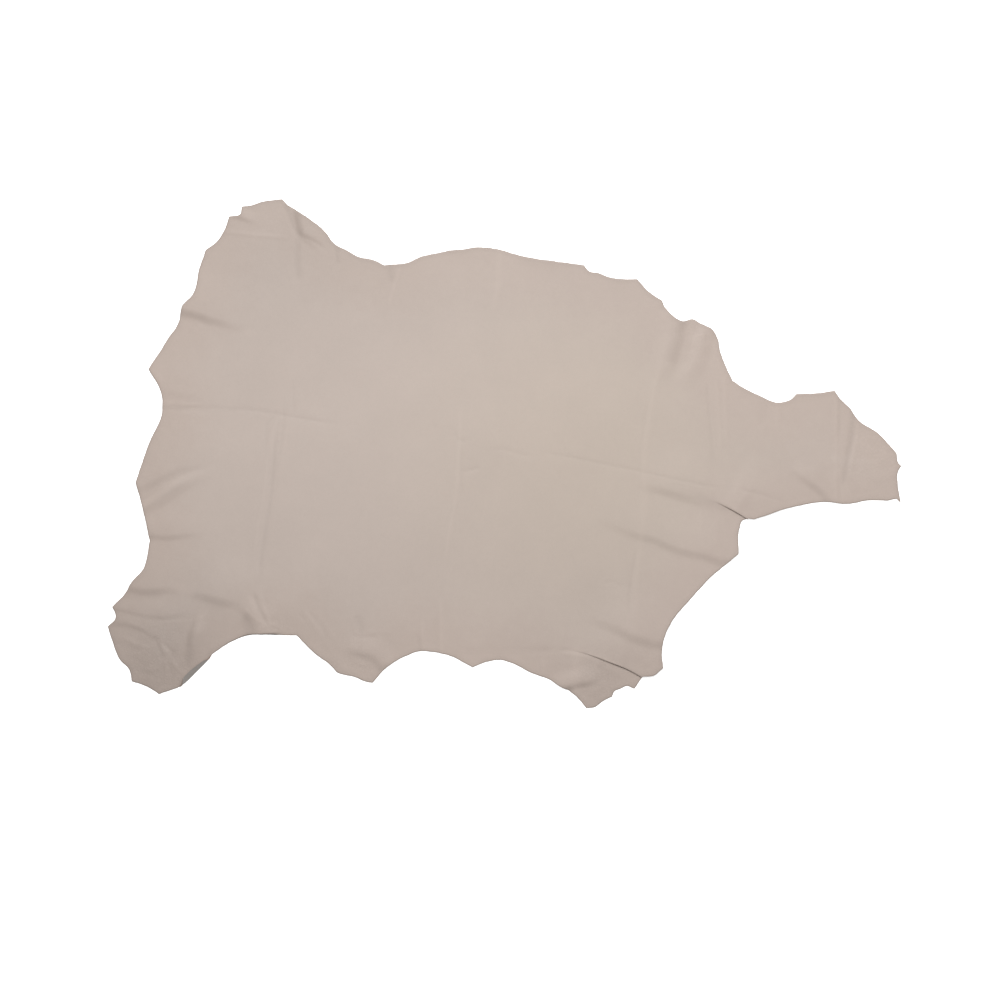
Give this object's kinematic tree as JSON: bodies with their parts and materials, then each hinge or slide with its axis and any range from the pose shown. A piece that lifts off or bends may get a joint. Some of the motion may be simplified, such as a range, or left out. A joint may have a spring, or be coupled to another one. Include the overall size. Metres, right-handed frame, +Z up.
{
  "type": "leather hide",
  "caption": "Whole tanned skin laid out flat, grain side up: a thin supple sheet with legs, neck, scalloped cut edge, lapped pleats and soft ripples.",
  "frame": {"origin": "on the surface that the hide lies on, under the middle of its outline", "axes": "+X from the rump to the neck along the spine, +Z up out of the grain side, +Y to the upper hind leg"},
  "size_m": [1.19, 0.763, 0.0058],
  "materials": {
    "leather": "smooth pale taupe grain with a soft satin sheen, flesh side matt"
  },
  "bodies": {
    "root": {"hide": "leather"}
  },
  "joints": []
}
